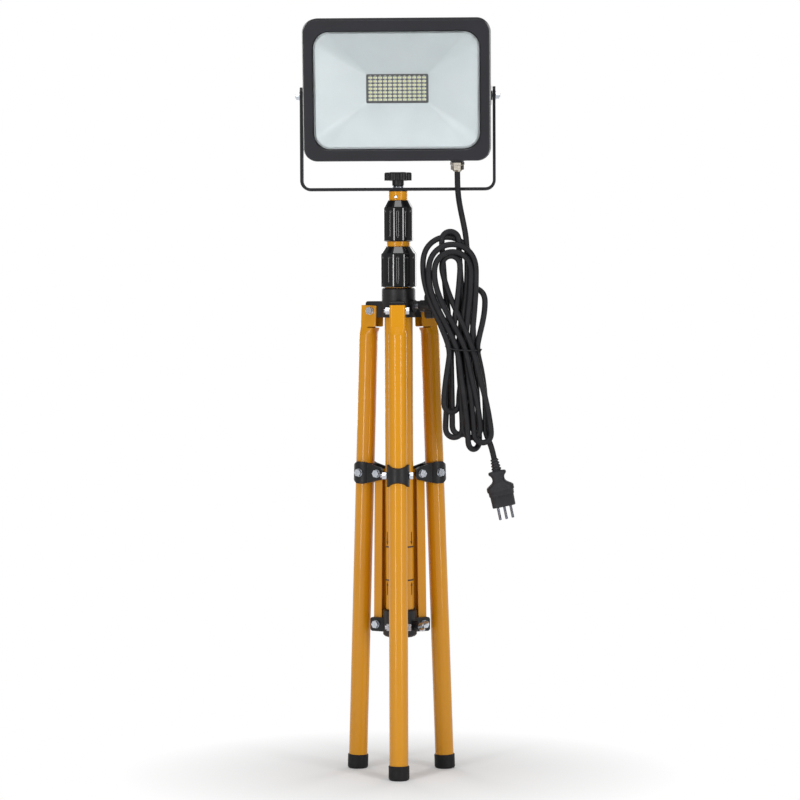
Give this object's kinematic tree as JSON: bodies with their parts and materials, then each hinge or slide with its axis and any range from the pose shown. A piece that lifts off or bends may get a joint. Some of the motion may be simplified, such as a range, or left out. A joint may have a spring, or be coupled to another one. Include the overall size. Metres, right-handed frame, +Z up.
{
  "type": "work light",
  "caption": "Rectangular LED floodlight in a steel bail on a folding telescopic tripod, with a rubber mains lead tied in a hank and a three-pin plug.",
  "frame": {"origin": "on the floor under the mast axis, in the plane of the three foot soles", "axes": "+Z up the mast, the lamp faces -Y, +X to the right of someone who looks at the lamp"},
  "size_m": [0.3272, 0.1462, 1.131],
  "materials": {
    "amber_powder_coat": "glossy amber powder coat on steel tube",
    "black_cast_housing": "black satin powder coat on die-cast aluminium",
    "black_strap": "black satin powder coat on steel strap",
    "clear_glass": "clear toughened glass",
    "seal_rubber": "matte black silicone",
    "reflector_grey": "satin light grey",
    "board_black": "black solder mask",
    "led_phosphor": "white package with yellow phosphor",
    "driver_case": "potted driver case",
    "zinc_fastener": "bright zinc plate",
    "nickel_gland": "nickel plated brass",
    "black_moulding": "black glass-filled nylon, satin",
    "gloss_black_sleeve": "high-gloss black",
    "foot_rubber": "matte black rubber",
    "cord_rubber": "black rubber sheath"
  },
  "bodies": {
    "mast": {"mast_tube": "amber_powder_coat", "hub": "black_moulding", "leg_hinge_bolts": "zinc_fastener", "lower_collet": "black_moulding", "mast_end_plug": "black_moulding"},
    "hub_knob": {"hub_knob": "black_moulding", "hub_knob_screw": "zinc_fastener"},
    "lower_sleeve": {"lower_sleeve": "gloss_black_sleeve"},
    "middle_tube": {"middle_tube": "amber_powder_coat", "middle_bush": "black_moulding", "upper_collet": "black_moulding"},
    "upper_sleeve": {"upper_sleeve": "gloss_black_sleeve"},
    "inner_tube": {"inner_tube": "amber_powder_coat", "inner_bush": "black_moulding", "top_insert": "black_moulding", "insert_screw": "zinc_fastener"},
    "top_knob": {"top_knob": "black_moulding", "top_knob_bolt": "zinc_fastener"},
    "bail": {"bail": "black_strap", "cup_washer": "zinc_fastener", "cord_lead": "cord_rubber", "cord_hank": "cord_rubber", "cord_tail": "cord_rubber", "cord_tie": "cord_rubber", "plug_body": "cord_rubber", "plug_pins": "zinc_fastener"},
    "head": {"front_bezel": "black_cast_housing", "front_glass": "clear_glass", "glass_seal": "seal_rubber", "reflector": "reflector_grey", "led_board": "board_black", "led_chips": "led_phosphor", "rear_housing": "black_cast_housing", "rear_cover": "black_cast_housing", "cover_screws": "zinc_fastener", "led_driver": "driver_case", "bail_bolts": "zinc_fastener", "friction_discs": "seal_rubber", "gland_body": "nickel_gland", "gland_nut": "nickel_gland"},
    "spreader_collar": {"spreader_collar": "black_moulding", "collar_bolts": "zinc_fastener"},
    "wing_screw": {"wing_screw": "zinc_fastener"},
    "leg_front": {"leg_tube_front": "amber_powder_coat", "leg_foot_front": "foot_rubber", "leg_clamp_front": "black_moulding", "clamp_bolts_front": "zinc_fastener"},
    "brace_front": {"brace_front": "amber_powder_coat"},
    "leg_right": {"leg_tube_right": "amber_powder_coat", "leg_foot_right": "foot_rubber", "leg_clamp_right": "black_moulding", "clamp_bolts_right": "zinc_fastener"},
    "brace_right": {"brace_right": "amber_powder_coat"},
    "leg_left": {"leg_tube_left": "amber_powder_coat", "leg_foot_left": "foot_rubber", "leg_clamp_left": "black_moulding", "clamp_bolts_left": "zinc_fastener"},
    "brace_left": {"brace_left": "amber_powder_coat"}
  },
  "joints": [
    {"name": "lower_sleeve_twist", "type": "hinge", "parent": "mast", "child": "lower_sleeve", "pos_m": [0, 0, 0.76], "axis": [0, 0, 1], "range_deg": [0, 180]},
    {"name": "middle_tube_slide", "type": "slide", "parent": "mast", "child": "middle_tube", "axis": [0, 0, 1], "range_m": [0, 0.38]},
    {"name": "upper_sleeve_twist", "type": "hinge", "parent": "middle_tube", "child": "upper_sleeve", "pos_m": [0, 0, 0.83], "axis": [0, 0, 1], "range_deg": [0, 180]},
    {"name": "inner_tube_slide", "type": "slide", "parent": "middle_tube", "child": "inner_tube", "axis": [0, 0, 1], "range_m": [0, 0.4]},
    {"name": "top_knob_turn", "type": "hinge", "parent": "inner_tube", "child": "top_knob", "pos_m": [0, 0, 0.89], "axis": [0, 0, 1], "range_deg": [0, 540]},
    {"name": "bail_swivel", "type": "hinge", "parent": "inner_tube", "child": "bail", "pos_m": [0, 0, 0.8765], "axis": [0, 0, 1], "range_deg": [-25, 25]},
    {"name": "head_tilt", "type": "hinge", "parent": "bail", "child": "head", "pos_m": [0, 0, 1.016], "axis": [1, 0, 0], "range_deg": [-80, 40], "deforming": ["cord_lead"]},
    {"name": "hub_knob_turn", "type": "hinge", "parent": "mast", "child": "hub_knob", "pos_m": [0.0433, -0.025, 0.702], "axis": [0.866, -0.5, 0], "range_deg": [0, 540]},
    {"name": "leg_front_spread", "type": "hinge", "parent": "mast", "child": "leg_front", "pos_m": [0, -0.043, 0.695], "axis": [-1, 0, 0], "range_deg": [0, 36]},
    {"name": "leg_right_spread", "type": "hinge", "parent": "mast", "child": "leg_right", "pos_m": [0.03724, 0.0215, 0.695], "axis": [0.5, -0.866, 0], "range_deg": [0, 36]},
    {"name": "leg_left_spread", "type": "hinge", "parent": "mast", "child": "leg_left", "pos_m": [-0.03724, 0.0215, 0.695], "axis": [0.5, 0.866, 0], "range_deg": [0, 36]},
    {"name": "brace_front_fold", "type": "hinge", "parent": "leg_front", "child": "brace_front", "pos_m": [0, -0.032, 0.45], "axis": [-1, 0, 0], "range_deg": [-75.7, 0]},
    {"name": "brace_right_fold", "type": "hinge", "parent": "leg_right", "child": "brace_right", "pos_m": [0.02771, 0.016, 0.45], "axis": [0.5, -0.866, 0], "range_deg": [-75.7, 0]},
    {"name": "brace_left_fold", "type": "hinge", "parent": "leg_left", "child": "brace_left", "pos_m": [-0.02771, 0.016, 0.45], "axis": [0.5, 0.866, 0], "range_deg": [-75.7, 0]},
    {"name": "collar_fold", "type": "hinge", "parent": "brace_front", "child": "spreader_collar", "pos_m": [0, -0.0345, 0.2225], "axis": [-1, 0, 0], "range_deg": [0, 39.7]},
    {"name": "wing_screw_turn", "type": "hinge", "parent": "spreader_collar", "child": "wing_screw", "pos_m": [0.03464, -0.02, 0.2225], "axis": [0.866, -0.5, 0], "range_deg": [0, 360]}
  ],
  "couplings": [
    {"joint": "leg_right_spread", "follows": "leg_front_spread", "ratio": 1},
    {"joint": "leg_left_spread", "follows": "leg_front_spread", "ratio": 1},
    {"joint": "brace_front_fold", "follows": "leg_front_spread", "ratio": -2.0975},
    {"joint": "brace_right_fold", "follows": "leg_front_spread", "ratio": -2.0975},
    {"joint": "brace_left_fold", "follows": "leg_front_spread", "ratio": -2.0975},
    {"joint": "collar_fold", "follows": "leg_front_spread", "ratio": 1.0975}
  ]
}
